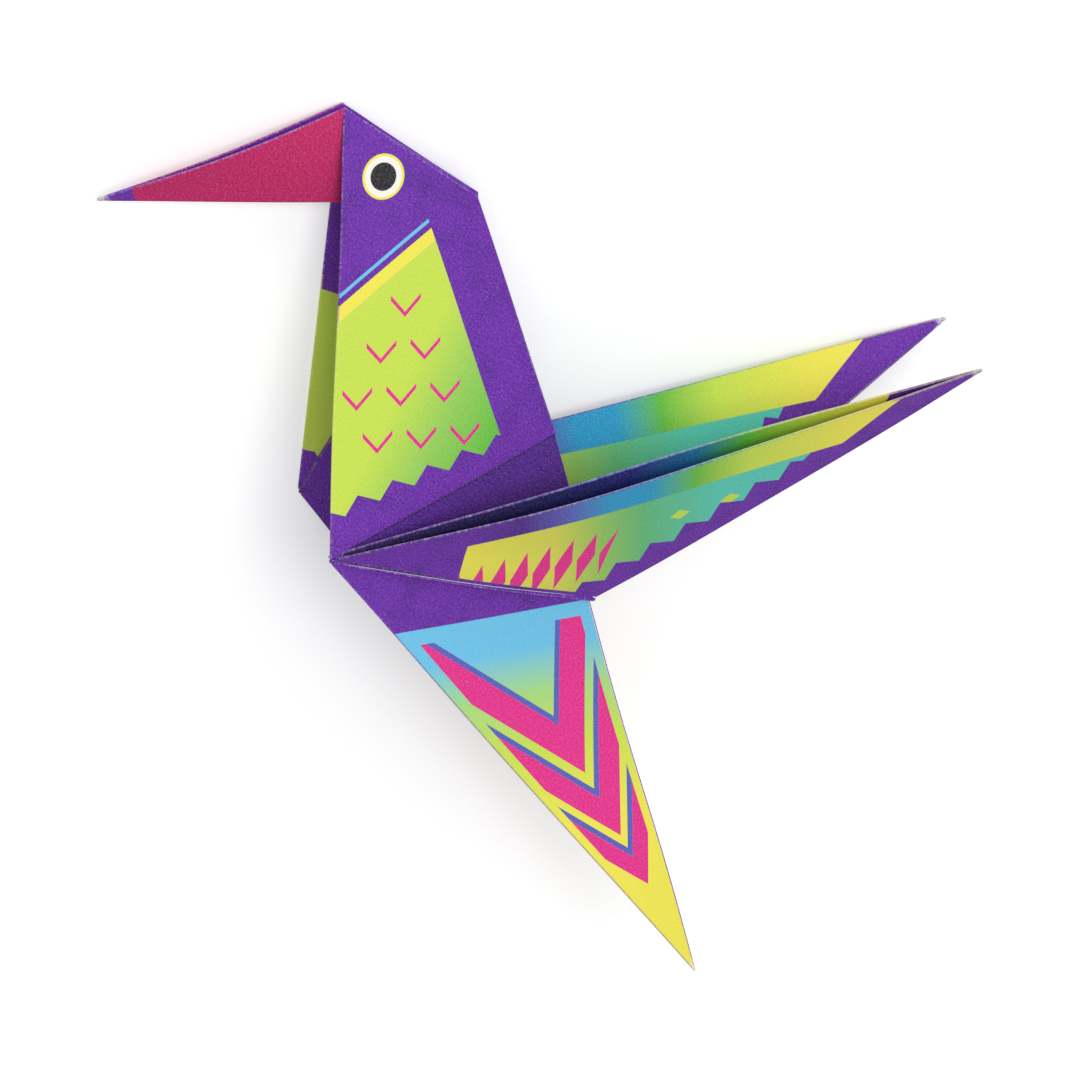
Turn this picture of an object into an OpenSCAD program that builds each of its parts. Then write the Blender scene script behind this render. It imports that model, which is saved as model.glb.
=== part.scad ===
// Origami hummingbird folded from one square sheet of paper.
//
// The sheet is first folded to a bird base. One long point becomes the neck, the opposite one the
// tail, and the base is doubled along that diagonal, so that the body is a channel with its spine
// at the back. The two legs are folded up across the body as wings, and the tip of the neck is
// turned in between the neck's halves as the beak.
//
// The body frame has its origin on the spine, level with the crease across the base's widest
// place. x points to the back, y up the neck and z out of one side. Every corner and crease end
// of the sheet is one point there, every facet between creases is one polygon, and the finished
// sheet is then laid on the plane z = 0 in the pose in which it comes to rest on its side.

/* [Sheet] */
// Side of the square sheet before it is folded
sheet = 150; // [120:1:240]
// Thickness of the paper
paper = 0.14; // [0.08:0.01:0.3]
// Room that each layer takes where layers lie on each other
layer_gap = 0.3; // [0.2:0.05:0.6]

/* [Body and tail] */
// Angle between the middle plane and each half of the body
body_open = 19; // [10:0.5:30]
// Angle by which the tail leans to the front
tail_lean = 3.9; // [0:0.1:8]

/* [Neck and beak] */
// Angle between the middle plane and each half of the neck at the head
neck_open = 4; // [2:0.5:12]
// Angle by which the neck leans to the back
neck_lean = 2.2; // [0:0.1:8]
// Length of the beak's open upper edge
beak_upper = 29.8; // [24:0.1:38]
// Length of the beak's lower fold, with the stretch inside the head
beak_lower = 43.9; // [36:0.1:52]
// Bulge of each half of the beak beside its open slot
beak_bow = 1.4; // [0:0.1:3]

/* [Wings] */
// Slope of the wing fold below the crease across the body
wing_slope = 35; // [30:0.5:40]
// Angle through which each wing is folded up
wing_fold = 148; // [135:0.5:160]
// Bulge of each half of a wing beside its open slot
wing_bow = 2.5; // [0.6:0.1:4]
// Bulge of the half that the bird lies on, which its weight presses flat
under_bow = 0; // [0:0.1:0.5]
// Sag of a wing's lower fold
wing_belly = 1; // [0:0.1:2]

/* [Hidden] */

// Angle between a long point's spine and its folded edge, from the kite folds of the base
kite_angle = 45 / 2;
// Length of each long point, from its tip to the crease across the base
point_length = sheet / 2;
// Half of the base's width along that crease
half_width = point_length * tan(kite_angle);

// How far a facet reaches past its outline, so that facets join at their creases
hem = 0.108;
// Facets along a wing, and along the neck
wing_cells = 8;
neck_cells = 5;
// Facets along the beak
beak_cells = 5;
// How far the inner loose edge stops short of the spine
edge_setback = 1.2;
// A corner this far below a plane still counts as on it
rest_slack = 0.001;

// Vector helpers
function unit(v) = v / norm(v);
function between(a, b, t) = a + (b - a) * t;
function along(a, b, cells) = [for (i = [0 : cells]) between(a, b, i / cells)];
function leaned(v, angle) = [v.x * cos(angle) - v.y * sin(angle), v.x * sin(angle) + v.y * cos(angle), v.z];
function turned(v, origin, axis, angle) =
    let (k = unit(axis), d = v - origin)
    origin + d * cos(angle) + cross(k, d) * sin(angle) + k * (k * d) * (1 - cos(angle));

// A point on one half, given as its distance in front of the spine and its height. side is 1 or -1.
function on_half(front, height, open, side) = [-front * cos(open), height, side * front * sin(open)];
// The way out of one half of the body
function outward(side) = [sin(body_open), 0, side * cos(body_open)];
// A place in the stack of layers at the spine: behind, above and beside it, in layers
function stacked(behind, above, beside, side) = layer_gap * [behind, above, side * beside];

// Corners and crease ends in the middle plane
tail_tip = leaned([0, -point_length, 0], -tail_lean);
sheet_centre = leaned([-1.5 * layer_gap, half_width, 0], -neck_lean);
spine_cross = stacked(2, 0, 0, 1);
head_back = leaned([0, point_length - beak_lower, 0], -neck_lean);

// The shoulders, where the base is widest. The outer one ends the outer pair of layers and the
// inner one the inner pair.
function shoulder_outer(side) = on_half(half_width, 0, body_open, side) + 1.5 * layer_gap * outward(side);
function shoulder_inner(side) =
    on_half(half_width, -layer_gap, body_open, side) + 0.5 * layer_gap * outward(side);

// The front end of the head fold, and the place where the loose edge runs over that fold
function head_front(side) =
    leaned(on_half(beak_upper * sin(kite_angle), point_length - beak_upper * cos(kite_angle), neck_open, side),
        -neck_lean);
function head_edge(side) = head_back + stacked(0.3, 1, 1.2, side);

// Inner ends of the wing fold. Each further layer wraps a little lower around it.
wing_drop = half_width * tan(wing_slope);
function fold_end(behind, above, beside, side) =
    leaned([0, -wing_drop, 0], -tail_lean) + stacked(behind, above, beside, side);
function fold_end_outer(side) = fold_end(1.6, 0, 1.2, side);
function fold_end_crease(side) = fold_end(0.9, -0.8, 0.8, side);
function fold_end_inner(side) = fold_end(0.4, -1.6, 0.8, side);

// Where the layers meet the crease across the base, at the spine: the outer loose edge, the
// crease of the leg, the inner loose edge and the crease of the tail
function cross_edge_outer(side) = stacked(1.6, 0, 1.2, side);
function at_cross_level(a, b) = between(a, b, a.y / (a.y - b.y));
function cross_leg(side) = at_cross_level(sheet_centre, fold_end_crease(side));
cross_tail = at_cross_level(sheet_centre, tail_tip);
function cross_edge_inner(side) =
    cross_tail + on_half(edge_setback, 0, body_open, side) + 0.6 * layer_gap * outward(side);

// The wing tip is the leg's tip, turned up about the wing fold
function wing_root(side) = on_half(half_width, 0, body_open, side);
function wing_tip(side) =
    turned(tail_tip, wing_root(side), fold_end(0, 0, 0, side) - wing_root(side), -side * wing_fold);
function wing_outward(side) =
    side * unit(cross(fold_end(0, 0, 0, side) - wing_root(side), wing_tip(side) - wing_root(side)));
function wing_down(side) = side * unit(cross(wing_tip(side) - wing_root(side), wing_outward(side)));

// The beak's lower fold is the neck's spine mirrored in the head fold
head_fold = (head_front(1) + head_front(-1)) / 2 - head_back;
beak_turn = 2 * atan2(-head_fold.x, head_fold.y) + neck_lean;
beak_tip = head_back + leaned([0, beak_lower, 0], beak_turn);

// Facets between two edges that run side by side
function ruled(edge_a, edge_b) =
    [for (i = [0 : len(edge_a) - 2]) [edge_a[i], edge_a[i + 1], edge_b[i + 1], edge_b[i]]];
// A straight edge that bulges by a vector half way along
function bowed(a, b, bulge, cells) =
    [for (i = [0 : cells]) between(a, b, i / cells) + bulge * sin(180 * i / cells)];

// The smooth layer of the neck is ruled between its front fold and the spine
function neck_front(side, t) = between(shoulder_outer(side), head_front(side), t);
function neck_spine(t) = between(spine_cross, head_back, t);

// The folds from a shoulder to the sheet's centre slope by 45 degrees inside the neck. fold_share
// tells where such a fold crosses a line of the smooth layer, and depth by how many layers it lies
// inside it.
front_rise = beak_upper * sin(kite_angle) + point_length - beak_upper * cos(kite_angle) - half_width;
function fold_share(t) =
    let (front = half_width + t * front_rise)
    (front - half_width) / (front - t * (point_length - beak_lower));
function centre_fold(shoulder, side, depth) =
    [for (i = [0 : neck_cells])
        let (t = i / neck_cells)
        i == 0 ? shoulder
        : i == neck_cells ? sheet_centre
        : between(neck_front(side, t), neck_spine(t), fold_share(t)) - depth * layer_gap * outward(side)];
function centre_layer(shoulder, side, depth, foot) =
    ruled(centre_fold(shoulder, side, depth), along(foot, sheet_centre, neck_cells));

function outer_bow(side) = side == 1 ? wing_bow : under_bow;

// One layer of a wing: a ruled surface from the bowed upper fold to the lower edge
function wing_layer(shoulder, lower, side, bow) =
    ruled(bowed(shoulder, wing_tip(side), bow * wing_outward(side), wing_cells),
        bowed(lower, wing_tip(side), wing_belly * wing_down(side), wing_cells));
function beak_layer(back, side) =
    ruled(bowed(head_front(side), beak_tip, [0, 0, side * beak_bow], beak_cells),
        along(back, beak_tip, beak_cells));
function neck_layer(foot, top, side) =
    ruled(along(shoulder_outer(side), head_front(side), neck_cells), along(foot, top, neck_cells));

// The facets of one half, from the outermost layer to the innermost
function neck_facets(side) = concat(
    neck_layer(cross_edge_outer(side), head_edge(side), side),
    neck_layer(spine_cross, head_back, side),
    centre_layer(shoulder_outer(side), side, 0.9, spine_cross),
    centre_layer(shoulder_outer(side), side, 0.9, cross_leg(side)),
    centre_layer(shoulder_inner(side), side, 2.2, cross_leg(side)),
    centre_layer(shoulder_inner(side), side, 2.2, cross_tail));
function beak_facets(side) = concat(beak_layer(head_back, side), beak_layer(head_edge(side), side));
function body_facets(side) = [
    [shoulder_outer(side), cross_edge_outer(side), fold_end_outer(side)],
    [shoulder_outer(side), cross_leg(side), fold_end_crease(side)],
    [shoulder_inner(side), cross_leg(side), fold_end_crease(side)],
    [shoulder_inner(side), cross_edge_inner(side), fold_end_inner(side)]];
function tail_facets(side) = [
    [shoulder_inner(side), cross_edge_inner(side), tail_tip],
    [shoulder_inner(side), cross_tail, tail_tip]];
function wing_facets(side) = concat(
    wing_layer(shoulder_outer(side), fold_end_outer(side), side, -wing_bow),
    wing_layer(shoulder_outer(side), fold_end_crease(side), side, -wing_bow),
    wing_layer(shoulder_inner(side), fold_end_crease(side), side, outer_bow(side)),
    wing_layer(shoulder_inner(side), fold_end_inner(side), side, outer_bow(side)));
function half_facets(side) = concat(
    neck_facets(side), beak_facets(side), body_facets(side), tail_facets(side), wing_facets(side));
facets = concat(half_facets(1), half_facets(-1));

// The centre of mass, from the facets' triangles
triangles = [for (f = facets) for (i = [1 : len(f) - 2]) [f[0], f[i], f[i + 1]]];
areas = [for (t = triangles) norm(cross(t[1] - t[0], t[2] - t[0])) / 2];
function total(values, i = 0) = i == len(values) - 1 ? values[i] : values[i] + total(values, i + 1);
centre_of_mass =
    total([for (i = [0 : len(triangles) - 1]) areas[i] * (triangles[i][0] + triangles[i][1] + triangles[i][2]) / 3])
    / total(areas);

// Corners that the sheet can lie on when its far side, side -1, is down
far_corners = concat(
    bowed(shoulder_inner(-1), wing_tip(-1), outer_bow(-1) * wing_outward(-1), wing_cells),
    bowed(head_front(-1), beak_tip, [0, 0, -beak_bow], beak_cells),
    [shoulder_outer(-1), tail_tip, fold_end_inner(-1)]);

// A plane through three of them is a rest where every other corner is above it and the centre of
// mass is above the triangle. The widest margin between that centre and an edge is the safest rest.
function upward(a, b, c) =
    let (n = unit(cross(b - a, c - a)))
    n * (centre_of_mass - a) > 0 ? n : -n;
function is_support(n, a) = min([for (p = far_corners) n * (p - a)]) > -rest_slack;
function rest_margin(n, a, b, c) =
    min([for (e = [[a, b, c], [b, c, a], [c, a, b]])
        let (across = unit(cross(n, e[1] - e[0])), inward = across * sign(across * (e[2] - e[0])))
        inward * (centre_of_mass - e[0])]);
rests = [for (i = [0 : len(far_corners) - 3])
    for (j = [i + 1 : len(far_corners) - 2])
        for (k = [j + 1 : len(far_corners) - 1])
            let (a = far_corners[i], b = far_corners[j], c = far_corners[k])
            if (norm(cross(b - a, c - a)) > 1)
                let (n = upward(a, b, c))
                if (is_support(n, a) && rest_margin(n, a, b, c) > 0)
                    [rest_margin(n, a, b, c), n]];
widest = max([for (r = rests) r[0]]);

// Axes of the resting sheet in the body frame: up from that plane, and along the spine to the head
up = [for (r = rests) if (r[0] == widest) r[1]][0];
along_spine = head_back - tail_tip;
length_axis = unit(along_spine - up * (up * along_spine));
width_axis = cross(up, length_axis);
resting_corners = [for (f = facets) for (c = f) [length_axis * c, width_axis * c, up * c]];
lowest = [for (i = [0 : 2]) min([for (c = resting_corners) c[i]])];
highest = [for (i = [0 : 2]) max([for (c = resting_corners) c[i]])];
// Half of the paper's own height around a corner
corner_depth = (hem * (abs(up.x) + abs(up.y)) + paper * abs(up.z)) / 2;
ground = [(lowest.x + highest.x) / 2, (lowest.y + highest.y) / 2, lowest.z - corner_depth];
rest_pose = [
    concat(length_axis, -ground.x),
    concat(width_axis, -ground.y),
    concat(up, -ground.z)];

// One facet of paper: the hull of a small block at each of its corners
module facet(corners) {
    hull()
        for (corner = corners)
            translate(corner)
                cube([hem, hem, paper], center = true);
}

module folded_sheet() {
    color("indigo")
        multmatrix(rest_pose)
            union()
                for (corners = facets)
                    facet(corners);
}

folded_sheet();
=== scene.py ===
"""Looks of an origami hummingbird: one square sheet of printed paper, folded, lying on its side.

The sheet is rebuilt facet by facet from the same named sizes as the CAD source. Every facet is a thin
slab of paper with its own print, white back, cut sides and rounded folds. The print is worked out in
the sheet's own flat coordinates, so that it runs over the folds as it does on a real sheet.
"""

import logging
from collections.abc import Callable
from dataclasses import dataclass, field
from enum import Enum
from math import atan2, cos, pi, radians, sin, sqrt, tan
from typing import ClassVar

import bpy
import numpy as np
from mathutils import Matrix, Vector


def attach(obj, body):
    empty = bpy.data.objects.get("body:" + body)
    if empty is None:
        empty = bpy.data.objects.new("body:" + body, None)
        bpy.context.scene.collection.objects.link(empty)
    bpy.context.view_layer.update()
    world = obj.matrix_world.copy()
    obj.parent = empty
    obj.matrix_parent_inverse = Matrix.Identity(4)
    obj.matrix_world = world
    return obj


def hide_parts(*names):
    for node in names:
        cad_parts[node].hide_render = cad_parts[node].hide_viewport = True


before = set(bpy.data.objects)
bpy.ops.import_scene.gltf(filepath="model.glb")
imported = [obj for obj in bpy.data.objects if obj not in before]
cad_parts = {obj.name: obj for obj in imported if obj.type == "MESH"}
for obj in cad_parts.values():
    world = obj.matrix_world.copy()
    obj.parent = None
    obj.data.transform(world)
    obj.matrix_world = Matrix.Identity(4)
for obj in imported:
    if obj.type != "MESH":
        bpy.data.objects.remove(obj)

log = logging.getLogger("hummingbird")

MM = 0.001
PLACE = "sheet_place"
WEAR = "fold_wear"
# Degrees between the wing fold and the long fold of the kite, on the flat sheet
ROOT_ANGLE = 32.5

Curve = Callable[[np.ndarray], np.ndarray]
Socket = bpy.types.NodeSocket
Operand = Socket | float


class Side(Enum):
    """How the paper ends along one side of a facet."""

    CUT = "the sheet's raw side"
    PRINT_OUT = "a fold with the print outside"
    WHITE_OUT = "a fold with the white outside"
    BEND = "the same layer goes on, a little bent"
    POINT = "the two long sides meet"


class Skin(Enum):
    """The finishes of the paper, in the order of the mesh's material slots."""

    PRINT = 0
    WHITE = 1
    CORE = 2


@dataclass(frozen=True)
class FoldSizes:
    """Sizes of the sheet and its folds, in millimetres and degrees, as the CAD source names them.

    The source has one wing_bow for both wings, a wider edge_setback, and none of near_bow, near_slot_bow,
    fold_turn, fold_rise, fold_reach and far_beak_bow, which are how the handled paper lies.
    """

    sheet: float = 150.0
    paper: float = 0.14
    layer_gap: float = 0.3
    body_open: float = 19.0
    tail_lean: float = 3.9
    neck_open: float = 4.0
    neck_lean: float = 2.2
    beak_upper: float = 29.8
    beak_lower: float = 43.9
    beak_bow: float = 1.4
    wing_slope: float = 35.0
    wing_fold: float = 148.0
    wing_bow: float = 2.5
    near_bow: float = 1.7
    near_slot_bow: float = 0.6
    under_bow: float = 0.0
    wing_belly: float = 1.0
    edge_setback: float = 0.25
    fold_turn: float = 0.09
    fold_rise: float = 1.1
    fold_reach: float = 9.0
    far_beak_bow: float = -1.0

    @property
    def point_length(self) -> float:
        """Length of each narrow point of the bird base."""
        return self.sheet / 2

    @property
    def half_width(self) -> float:
        """Width of one half of the base at its widest."""
        return self.point_length * tan(radians(22.5))

    @property
    def wing_drop(self) -> float:
        """How far down the spine the wing fold ends."""
        return self.half_width * tan(radians(self.wing_slope))

    @property
    def corner_reach(self) -> float:
        """Distance from the sheet's centre to a corner."""
        return self.sheet / sqrt(2)


def unit(v: np.ndarray) -> np.ndarray:
    """The vector divided by its length."""
    return v / np.linalg.norm(v)


def vec(x: float, y: float, z: float) -> np.ndarray:
    """A point or direction as an array."""
    return np.array([x, y, z], float)


def leaned(v: np.ndarray, degrees_about_z: float) -> np.ndarray:
    """The vector turned about the axis across the body."""
    c, s = cos(radians(degrees_about_z)), sin(radians(degrees_about_z))
    return vec(v[0] * c - v[1] * s, v[0] * s + v[1] * c, v[2])


def turned(v: np.ndarray, origin: np.ndarray, axis: np.ndarray, degrees_turned: float) -> np.ndarray:
    """A point turned about an axis through an origin.

    The offset d becomes d cos a + (k x d) sin a + k (k . d)(1 - cos a), with k the axis's unit vector.

    Args:
        v: the point.
        origin: a point on the axis.
        axis: the direction of the axis.
        degrees_turned: the angle.

    Returns:
        The turned point.
    """
    k, d, a = unit(axis), v - origin, radians(degrees_turned)
    return origin + d * cos(a) + np.cross(k, d) * sin(a) + k * (k @ d) * (1 - cos(a))


def between(a: np.ndarray, b: np.ndarray, t: float) -> np.ndarray:
    """The point a share t of the way from a to b."""
    return a + (b - a) * t


def straight(a: np.ndarray, b: np.ndarray) -> Curve:
    """A straight edge: a + t (b - a)."""
    return lambda t: a + t[:, None] * (b - a)


def bowed(a: np.ndarray, b: np.ndarray, bulge: np.ndarray) -> Curve:
    """An edge that bulges half way along: a + t (b - a) + bulge sin(pi t)."""
    return lambda t: a + t[:, None] * (b - a) + np.sin(pi * t)[:, None] * bulge


def through(points: list[np.ndarray]) -> Curve:
    """An edge that runs straight from each point to the next, in equal shares of t."""
    stops, rows = np.linspace(0, 1, len(points)), np.array(points)
    return lambda t: np.stack([np.interp(t, stops, rows[:, k]) for k in range(3)], 1)


@dataclass(frozen=True)
class Facet:
    """One flat or gently bent piece of the sheet between folds, ruled between two of its edges.

    The point at (t, w) is first(t) + w (second(t) - first(t)), and its place on the flat sheet is
    worked out from the ends in the same way. A start rise adds rise sin(pi w), which fades along t.
    """

    name: str
    first: Curve
    second: Curve
    first_place: tuple[tuple[float, float], tuple[float, float]]
    second_place: tuple[tuple[float, float], tuple[float, float]]
    sides: tuple[Side, Side, Side, Side]
    print_to: np.ndarray
    start_rise: np.ndarray | None = None


@dataclass(frozen=True)
class SheetPlaces:
    """Named places on the flat sheet, in millimetres from its centre, on the half with u below zero."""

    sizes: FoldSizes = field(default_factory=FoldSizes)

    def at(self, name: str) -> tuple[float, float]:
        """The place of a named corner.

        Args:
            name: the corner's name in the folding.

        Returns:
            Its u and v, with u across the sheet and v from the tail's corner to the beak's.
        """
        s, c = self.sizes, self.sizes.corner_reach
        x, m = s.sheet * (sqrt(2) - 1) / 2, s.sheet / sqrt(8)
        inner = c - 2 * x
        along_side = 1 / sqrt(2)
        return {
            "beak": (0.0, c),
            "tail": (0.0, -c),
            "wing": (-c, 0.0),
            "centre": (0.0, 0.0),
            "shoulder_outer": (-x, x),
            "shoulder_inner": (-x, -x),
            "edge_outer": (-m, m),
            "edge_inner": (-m, -m),
            "spine_cross": (0.0, inner),
            "cross_tail": (0.0, -inner),
            "cross_leg": (-inner, 0.0),
            "fold_end_outer": (-m - s.wing_drop * along_side, m - s.wing_drop * along_side),
            "fold_end_inner": (-m - s.wing_drop * along_side, -m + s.wing_drop * along_side),
            "fold_end_crease": (-inner - s.wing_drop, 0.0),
            "head_front": (
                -s.beak_upper * sin(radians(22.5)),
                c - s.beak_upper * cos(radians(22.5)),
            ),
            "head_back": (0.0, c - s.beak_lower),
            "head_edge": (-s.beak_lower * along_side, c - s.beak_lower * along_side),
        }[name]


class BirdFold:
    """The folded sheet: its corners in the bird's own frame, its facets and its rest on the floor."""

    def __init__(self, sizes: FoldSizes) -> None:
        """Work out the corners in the middle plane.

        Args:
            sizes: the sheet's sizes.
        """
        s = self.sizes = sizes
        self.places = SheetPlaces(sizes)
        self.tail_tip = leaned(vec(0, -s.point_length, 0), -s.tail_lean)
        self.sheet_centre = leaned(vec(-1.5 * s.layer_gap, s.half_width, 0), -s.neck_lean)
        self.spine_cross = self.stacked(2, 0, 0, 1)
        self.head_back = leaned(vec(0, s.point_length - s.beak_lower, 0), -s.neck_lean)
        self.cross_tail = self.at_cross_level(self.sheet_centre, self.tail_tip)
        fold = (self.head_front(1) + self.head_front(-1)) / 2 - self.head_back
        turn = 2 * np.degrees(atan2(-fold[0], fold[1])) + s.neck_lean
        self.beak_tip = self.head_back + leaned(vec(0, s.beak_lower, 0), turn)

    @staticmethod
    def at_cross_level(a: np.ndarray, b: np.ndarray) -> np.ndarray:
        """Where the line from a to b meets the level of the crease across the base."""
        return between(a, b, a[1] / (a[1] - b[1]))

    def stacked(self, behind: float, above: float, beside: float, side: int) -> np.ndarray:
        """A place in the stack of layers at the spine, in layers."""
        return self.sizes.layer_gap * vec(behind, above, side * beside)

    def on_half(self, front: float, height: float, opened: float, side: int) -> np.ndarray:
        """A point on one half, given as its distance in front of the spine and its height."""
        a = radians(opened)
        return vec(-front * cos(a), height, side * front * sin(a))

    def outward(self, side: int) -> np.ndarray:
        """The way out of one half of the body."""
        a = radians(self.sizes.body_open)
        return vec(sin(a), 0, side * cos(a))

    def shoulder_outer(self, side: int) -> np.ndarray:
        """The widest corner of the outer pair of layers."""
        s = self.sizes
        return self.on_half(s.half_width, 0, s.body_open, side) + 1.5 * s.layer_gap * self.outward(side)

    def shoulder_inner(self, side: int) -> np.ndarray:
        """The widest corner of the inner pair of layers."""
        s = self.sizes
        at = self.on_half(s.half_width, -s.layer_gap, s.body_open, side)
        return at + 0.5 * s.layer_gap * self.outward(side)

    def head_front(self, side: int) -> np.ndarray:
        """The front end of the head fold."""
        s, a = self.sizes, radians(22.5)
        front, height = s.beak_upper * sin(a), s.point_length - s.beak_upper * cos(a)
        return leaned(self.on_half(front, height, s.neck_open, side), -s.neck_lean)

    def head_edge(self, side: int) -> np.ndarray:
        """Where the loose edge runs over the head fold."""
        return self.head_back + self.stacked(0.3, 1, 1.2, side)

    def fold_end(self, behind: float, above: float, beside: float, side: int) -> np.ndarray:
        """An inner end of the wing fold, at its place in the stack."""
        root = leaned(vec(0, -self.sizes.wing_drop, 0), -self.sizes.tail_lean)
        return root + self.stacked(behind, above, beside, side)

    def fold_end_outer(self, side: int) -> np.ndarray:
        """The wing fold's end on the outermost layer."""
        return self.fold_end(1.6, 0, 1.2, side)

    def fold_end_crease(self, side: int) -> np.ndarray:
        """The wing fold's end on the leg's crease."""
        return self.fold_end(0.9, -0.8, 0.8, side)

    def fold_end_inner(self, side: int) -> np.ndarray:
        """The wing fold's end on the innermost layer."""
        return self.fold_end(0.4, -1.6, 0.8, side)

    def edge_outer(self, side: int) -> np.ndarray:
        """The outer loose edge at the crease across the base."""
        return self.stacked(1.6, 0, 1.2, side)

    def edge_inner(self, side: int) -> np.ndarray:
        """The inner loose edge at the crease across the base."""
        s = self.sizes
        back = self.on_half(s.edge_setback, 0, s.body_open, side)
        return self.cross_tail + back + 0.6 * s.layer_gap * self.outward(side)

    def cross_leg(self, side: int) -> np.ndarray:
        """The leg's crease at the crease across the base."""
        return self.at_cross_level(self.sheet_centre, self.fold_end_crease(side))

    def wing_root(self, side: int) -> np.ndarray:
        """The front end of the wing fold."""
        return self.on_half(self.sizes.half_width, 0, self.sizes.body_open, side)

    def wing_tip(self, side: int) -> np.ndarray:
        """The leg's tip, turned up about the wing fold."""
        root = self.wing_root(side)
        axis = self.fold_end(0, 0, 0, side) - root
        return turned(self.tail_tip, root, axis, -side * self.sizes.wing_fold)

    def wing_outward(self, side: int) -> np.ndarray:
        """The way out of a wing."""
        root = self.wing_root(side)
        return side * unit(np.cross(self.fold_end(0, 0, 0, side) - root, self.wing_tip(side) - root))

    def wing_down(self, side: int) -> np.ndarray:
        """The way from a wing's upper fold to its lower edge."""
        return side * unit(np.cross(self.wing_tip(side) - self.wing_root(side), self.wing_outward(side)))

    def in_wing(self, point: np.ndarray, side: int, layers: float) -> np.ndarray:
        """A point moved straight out of the wing's plane until it is so many layers from that plane."""
        out = self.wing_outward(side)
        return point + out * (layers * self.sizes.layer_gap - (point - self.wing_root(side)) @ out)

    def centre_fold(self, shoulder: np.ndarray, side: int, depth: float) -> Curve:
        """The fold from a shoulder to the sheet's centre, inside the neck's smooth layer.

        Args:
            shoulder: where the fold starts.
            side: 1 or -1.
            depth: how many layers the fold lies inside the smooth layer.

        Returns:
            The fold, which crosses the smooth layer's lines at the share that 45 degrees gives.
        """
        s, a, cells = self.sizes, radians(22.5), 5
        rise = s.beak_upper * sin(a) + s.point_length - s.beak_upper * cos(a) - s.half_width
        points = [shoulder]
        for i in range(1, cells):
            t = i / cells
            front = s.half_width + t * rise
            share = (front - s.half_width) / (front - t * (s.point_length - s.beak_lower))
            here = between(
                between(self.shoulder_outer(side), self.head_front(side), t),
                between(self.spine_cross, self.head_back, t),
                share,
            )
            points.append(here - depth * s.layer_gap * self.outward(side))
        return through([*points, self.sheet_centre])

    def facets(self, side: int) -> list[Facet]:
        """The facets of one half, from the outermost layer to the innermost.

        Args:
            side: 1 or -1.

        Returns:
            The half's facets.
        """
        s, at = self.sizes, self.places.at
        out, cut, white, bend, point = Side.PRINT_OUT, Side.CUT, Side.WHITE_OUT, Side.BEND, Side.POINT
        xo, xi = self.shoulder_outer(side), self.shoulder_inner(side)
        way, beside = self.outward(side), vec(0, 0, side)
        wing, down, tip = self.wing_outward(side), self.wing_down(side), self.wing_tip(side)
        beak_top = bowed(
            self.head_front(side), self.beak_tip, (s.beak_bow if side == 1 else s.far_beak_bow) * beside
        )
        leg = self.cross_leg(side)
        made: list[Facet] = []

        def add(
            name: str,
            first: Curve,
            second: Curve,
            places: tuple[str, str, str, str],
            sides: tuple[Side, Side, Side, Side],
            print_to: np.ndarray,
            start_rise: np.ndarray | None = None,
        ) -> None:
            """Keep a facet, with its places by name, in the order first start and end, second start and end."""
            a, b, c, d = (at(p) for p in places)
            made.append(Facet(name, first, second, (a, b), (c, d), sides, print_to, start_rise))

        # Neck: sides run start, end, first, second
        add("neck outer", straight(xo, self.head_front(side)),
            straight(self.edge_outer(side), self.head_edge(side)),
            ("shoulder_outer", "head_front", "edge_outer", "head_edge"), (bend, out, out, cut), way)
        add("neck smooth", straight(xo, between(xo, self.head_front(side), 0.992)),
            straight(self.spine_cross, between(self.spine_cross, self.head_back, 0.985)),
            ("shoulder_outer", "head_front", "spine_cross", "head_back"), (white, white, out, white), -way)
        outer_fold, inner_fold = self.centre_fold(xo, side, 0.9), self.centre_fold(xi, side, 2.2)
        add("centre outer", outer_fold, straight(self.spine_cross, self.sheet_centre),
            ("shoulder_outer", "centre", "spine_cross", "centre"), (white, point, out, out), way)
        add("leg top outer", outer_fold, straight(leg, self.sheet_centre),
            ("shoulder_outer", "centre", "cross_leg", "centre"), (bend, point, out, white), -way)
        add("leg top inner", inner_fold, straight(leg, self.sheet_centre),
            ("shoulder_inner", "centre", "cross_leg", "centre"), (bend, point, out, white), way)
        add("centre inner", inner_fold, straight(self.cross_tail, self.sheet_centre),
            ("shoulder_inner", "centre", "cross_tail", "centre"), (bend, point, out, white), -way)

        # Beak, whose lining hangs inside and ends a little above the lower fold
        fold_line = unit(self.beak_tip - self.head_back)
        over_fold = self.head_front(side) - self.head_back
        over_fold = unit((over_fold - fold_line * (over_fold @ fold_line)) * vec(1, 1, 0))
        lining = self.head_back + 0.8 * over_fold
        add("head fold", straight(self.head_front(side), self.head_edge(side)),
            straight(self.head_front(side), lining),
            ("head_front", "head_edge", "head_front", "head_edge"), (point, cut, bend, bend), vec(0.5, 0.85, 0))
        add("beak side", beak_top, straight(self.head_back, self.beak_tip),
            ("head_front", "beak", "head_back", "beak"), (bend, point, out, out), beside)
        add("beak lining", beak_top, straight(lining, self.beak_tip),
            ("head_front", "beak", "head_edge", "beak"), (bend, point, out, cut), -beside)

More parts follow.
